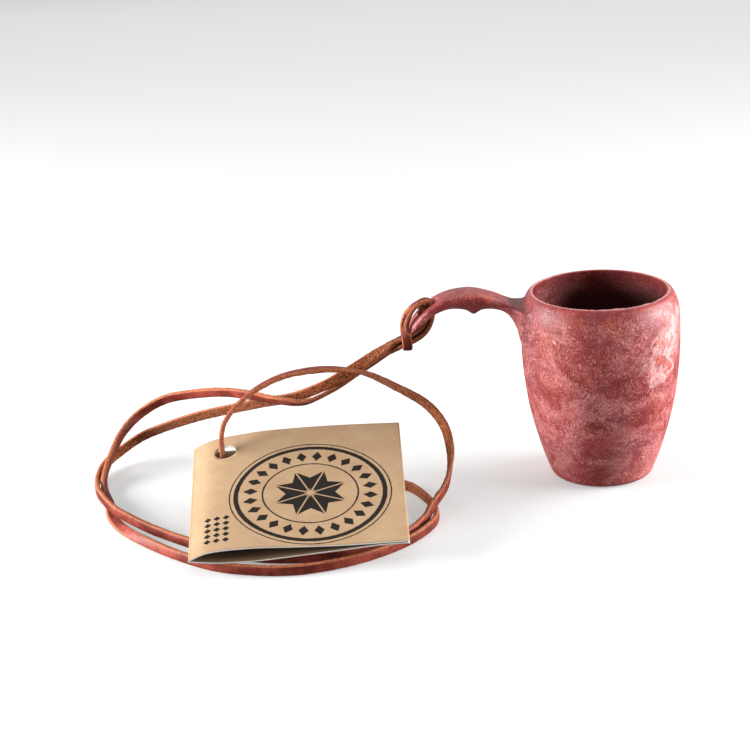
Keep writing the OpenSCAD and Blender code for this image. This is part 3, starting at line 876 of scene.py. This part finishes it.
def leaf_plan():
    """Quads over the card's outline with its hole, as flat points and faces."""
    n = PATCH_CELLS
    left, right = HOLE[0] - PATCH, HOLE[0] + PATCH
    low, high = HOLE[1] - PATCH, HOLE[1] + PATCH
    xs = np.concatenate([FOLD_LINES, np.linspace(0, left, LEFT_CELLS + 1)[:-1],
                         np.linspace(left, right, n + 1), np.linspace(right, TAG_WIDTH, RIGHT_CELLS + 1)[1:]])
    ys = np.concatenate([np.linspace(0, low, FRONT_CELLS + 1)[:-1],
                         np.linspace(low, high, n + 1), np.linspace(high, TAG_DEPTH, BACK_CELLS + 1)[1:]])
    i0, j0 = int(np.argmin(abs(xs - left))), int(np.argmin(abs(ys - low)))
    points = [(x, y) for x in xs for y in ys]

    def number(i, j):
        return i * len(ys) + j

    faces = []
    for i in range(len(xs) - 1):
        for j in range(len(ys) - 1):
            if not (i0 <= i < i0 + n and j0 <= j < j0 + n):
                faces.append([number(i, j), number(i + 1, j), number(i + 1, j + 1), number(i, j + 1)])
    border = ([(i0 + k, j0) for k in range(n)] + [(i0 + n, j0 + k) for k in range(n)]
              + [(i0 + n - k, j0 + n) for k in range(n)] + [(i0, j0 + n - k) for k in range(n)])
    ring = [number(i, j) for i, j in border]
    square = np.array([points[v] for v in ring])
    circle = HOLE + HOLE_RADIUS * unit(square - HOLE)
    for s in range(1, HOLE_RINGS + 1):
        start = len(points)
        points += (square + (circle - square) * s / HOLE_RINGS).tolist()
        inner = list(range(start, start + 4 * n))
        for k in range(4 * n):
            m = (k + 1) % (4 * n)
            faces.append([ring[k], ring[m], inner[m], inner[k]])
        ring = inner
    return np.array(points), faces


def leaf_height(edges, x, y):
    """The leaf's own side of the gap: a blend of its front edge's and back edge's curves."""
    front, back = (along(np.stack([STATIONS, e], -1), LEAF_STEPS) for e in edges)
    share = y / TAG_DEPTH
    return (np.interp(x, front[:, 0], front[:, 1]) * (1 - share)
            + np.interp(x, back[:, 0], back[:, 1]) * share)


def tag_leaf(name, edges, up, materials):
    """A leaf of the card, curved and in place, with its outside, its inside and its cut edges."""
    plan, faces = leaf_plan()
    x, y = plan[:, 0], plan[:, 1]
    inner = leaf_height(edges, np.maximum(x, 0), y)
    bend = np.where(x < 0, np.sqrt(np.maximum(CARD ** 2 - x ** 2, 0)), CARD)
    outer = inner + up * bend
    total = len(plan)
    local = np.vstack([np.column_stack([x, y, outer]), np.column_stack([x, y, inner])])
    top = [f if up > 0 else f[::-1] for f in faces]
    bottom = [[v + total for v in f[::-1]] for f in top]
    sides = [side for f in top for side in zip(f, f[1:] + f[:1])]
    shared = set(sides)
    walls = [[b, a, a + total, b + total] for a, b in sides if (b, a) not in shared]
    kinds = [OUTSIDE_FACE] * len(top) + [INSIDE_FACE] * len(bottom) + [CUT_FACE] * len(walls)
    turn = Matrix.Rotation(TAG_TURN, 3, "Z") @ Matrix.Rotation(TAG_TILT, 3, "X")
    placed = local @ np.array(turn).T + np.array(FOLD_FRONT)
    piece = mesh_piece(name, placed, top + bottom + walls, materials, kinds)
    layer = piece.data.uv_layers.new(name="card_plan")
    corner = np.zeros(len(piece.data.loops), int)
    piece.data.loops.foreach_get("vertex_index", corner)
    layer.data.foreach_set("uv", (np.vstack([plan, plan])[corner] / UV_SIZE).ravel())
    return piece


KRAFT = (0.44, 0.285, 0.165)
KRAFT_DARK = (0.31, 0.19, 0.1)
KRAFT_PALE = (0.48, 0.325, 0.195)
# Painted shade for the card's inside faces, between the leaves
KRAFT_INSIDE_SHADE = (0.08, 0.045, 0.028)
CUT_CARD = (0.98, 0.95, 0.9)
INK = (0.009, 0.008, 0.008)
# The print: a star of lozenges, rings, a round of beads, and a band of lozenges by the fold
STAR_CENTRE = (34.0, 24.0)
STAR_POINTS = 8
PETAL_REACH = 11.5
PETAL_HALF_WIDTH = 3.6
RINGS = [(13.4, 13.9), (20.6, 22.0), (22.9, 23.3)]
BEADS = 24
BEAD_RADIUS = 17.2
BEAD_HALF_WIDTH = 1.7
BEAD_HALF_HEIGHT = 2.5
BAND_START = 3.6
BAND_CELL = 2.6
BAND_CELLS = (3, 5)


def kraft_tone(tree, place):
    """Kraft board: soft blotches, short fibres and a few dark specks."""
    tone = mixed(tree, rise(tree, cloud(tree, place, 6, 4, 0.6), 0.35, 0.7), KRAFT, KRAFT_PALE)
    tone = laid(tree, tone, KRAFT_DARK, rise(tree, cloud(tree, place, 0.5, 3, 0.7), 0.55, 0.75), 0.5)
    hair = rise(tree, fibres(tree, place, (0, 60), 1.8, 0.2), 0.6, 0.75)
    return laid(tree, tone, KRAFT_PALE, hair, 0.3)


def folded(tree, value, width):
    """How far the value is from the middle of its cell, of cells that wide."""
    return calc(tree, "ABSOLUTE", minus(tree, calc(tree, "MODULO", value, width), width / 2))


def lozenge(tree, a, half_a, b, half_b):
    """0 at the middle of a lozenge and 1 at its edge, a and b away from the middle."""
    return calc(tree, "ADD", calc(tree, "DIVIDE", a, half_a), calc(tree, "DIVIDE", b, half_b))


def folk_print(tree):
    """Ink cover, 0 to 1: an eight-point star in rings of lozenges, and a small lozenge band."""
    plan = scaled(tree, node(tree, "UVMap", uv_map="card_plan").outputs[0], (UV_SIZE, UV_SIZE, 0))
    u, v, _ = parts_of(tree, plan)
    wobble = times(tree, minus(tree, cloud(tree, plan, 0.8, 4, 0.7), 0.5), 0.5)
    du, dv = minus(tree, u, STAR_CENTRE[0]), minus(tree, v, STAR_CENTRE[1])
    radius = calc(tree, "ADD", distance(tree, du, dv), wobble)
    angle = calc(tree, "ADD", calc(tree, "ARCTAN2", dv, du), 2 * math.pi)
    # Star: each point is a lozenge from the centre, split down its middle
    sector = folded(tree, angle, 2 * math.pi / STAR_POINTS)
    out = times(tree, radius, calc(tree, "COSINE", sector))
    off = times(tree, radius, calc(tree, "SINE", sector))
    middle = calc(tree, "ABSOLUTE", minus(tree, out, PETAL_REACH / 2))
    petal = lozenge(tree, middle, PETAL_REACH / 2, off, PETAL_HALF_WIDTH)
    ink = times(tree, fall(tree, petal, 0.86, 0.92), rise(tree, off, 0.12, 0.3))
    for low, high in RINGS:
        ink = calc(tree, "MAXIMUM", ink, between(tree, radius, low, high))
    arc = times(tree, folded(tree, angle, 2 * math.pi / BEADS), BEAD_RADIUS)
    tall = calc(tree, "ABSOLUTE", minus(tree, radius, BEAD_RADIUS))
    bead = lozenge(tree, arc, BEAD_HALF_WIDTH, tall, BEAD_HALF_HEIGHT)
    ink = calc(tree, "MAXIMUM", ink, fall(tree, bead, 0.8, 0.95))
    # Lozenge band by the fold
    in_band = [between(tree, value, BAND_START, BAND_START + count * BAND_CELL)
               for value, count in zip((u, v), BAND_CELLS)]
    away = [folded(tree, minus(tree, value, BAND_START), BAND_CELL) for value in (u, v)]
    net = fall(tree, calc(tree, "ADD", *away), 1.0, 1.15)
    ink = calc(tree, "MAXIMUM", ink, times(tree, net, times(tree, *in_band)))
    # Worn spots in the ink
    return times(tree, ink, rise(tree, cloud(tree, plan, 1.1, 5, 0.75), 0.27, 0.36))


def card_material(name, inside=0.0, printed=False):
    """Kraft card, with painted shade as far as inside says, with or without the print."""
    material, tree, shader = new_material(name)
    place = millimetres(tree)
    tone = laid(tree, kraft_tone(tree, place), KRAFT_INSIDE_SHADE, inside)
    if printed:
        tone = laid(tree, tone, INK, folk_print(tree), 0.98)
    fill(tree, shader, {"Base Color": tone, "Roughness": 0.8, "Specular IOR Level": 0.12,
                        "Normal": bumped(tree, cloud(tree, place, 0.35, 4, 0.7), 0.03, 0.5)})
    return material


def cut_material():
    """The card's cut edge, paler than its faces."""
    material, tree, shader = new_material("card_cut_edge")
    layers = rise(tree, cloud(tree, millimetres(tree), 0.6, 3, 0.6), 0.15, 0.4)
    fill(tree, shader, {"Base Color": mixed(tree, layers, KRAFT_PALE, CUT_CARD), "Roughness": 0.9})
    return material


plain_card = card_material("card_plain")
# The inside faces carry painted shade
shaded_inner_card = card_material("card_inside_shade", inside=0.55)
printed_card = card_material("card_printed", printed=True)
cut_card = cut_material()
leaf_front = tag_leaf("tag_leaf_front", FRONT_LEAF, 1, [printed_card, shaded_inner_card, cut_card])
leaf_back = tag_leaf("tag_leaf_back", BACK_LEAF, -1, [plain_card, shaded_inner_card, cut_card])
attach(leaf_front, "tag_upper")
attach(leaf_back, "tag_lower")
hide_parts("tag_front")
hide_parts("tag_back")

# ---- Floor and light ----
FLOOR_TONE = (0.57, 0.58, 0.58)
FLOOR_GLOW = 0.3
FLOOR_REACH = 3000
WORLD_STRENGTH = 0.26
# Name, place, aim, width, height and power in watts
SOFT_BOXES = [
    ("top_box", (-0.05, 0.25, 0.9), (-0.06, 0, 0), 0.9, 0.6, 1.6),
    ("back_box", (-0.05, 0.9, 0.34), (-0.06, 0, 0.03), 1.5, 0.5, 1.6),
    ("left_box", (-0.66, -0.02, 0.16), (-0.06, 0, 0.03), 0.5, 0.25, 10.5),
    ("right_box", (0.56, -0.02, 0.16), (-0.03, 0, 0.03), 0.5, 0.25, 10),
]


def make_floor():
    """A wide pale floor that glows a little and doesn't light the object."""
    material, tree, shader = new_material("pale_floor")
    fill(tree, shader, {"Base Color": (*FLOOR_TONE, 1), "Roughness": 0.6, "Specular IOR Level": 0.0,
                        "Emission Color": (1, 1, 1, 1), "Emission Strength": FLOOR_GLOW})
    corners = [(x * FLOOR_REACH, y * FLOOR_REACH, 0) for x, y in ((-1, -1), (1, -1), (1, 1), (-1, 1))]
    floor = mesh_piece("floor", corners, [[0, 1, 2, 3]], [material])
    floor.visible_diffuse = False
    floor.visible_glossy = False


def soft_box(name, place, aim, width, height, power):
    """A rectangular lamp that faces its aim."""
    data = bpy.data.lights.new(name, "AREA")
    data.shape = "RECTANGLE"
    data.size, data.size_y = width, height
    data.energy = power
    lamp = bpy.data.objects.new(name, data)
    lamp.location = place
    lamp.rotation_euler = (Vector(aim) - Vector(place)).to_track_quat("-Z", "Y").to_euler()
    bpy.context.scene.collection.objects.link(lamp)


def make_light():
    """A pale world and the soft boxes."""
    world = bpy.data.worlds.new("studio")
    world.use_nodes = True
    background = world.node_tree.nodes["Background"]
    background.inputs["Color"].default_value = (1, 1, 1, 1)
    background.inputs["Strength"].default_value = WORLD_STRENGTH
    bpy.context.scene.world = world
    for box in SOFT_BOXES:
        soft_box(*box)
    bpy.context.scene.view_settings.view_transform = "Standard"


make_floor()
make_light()
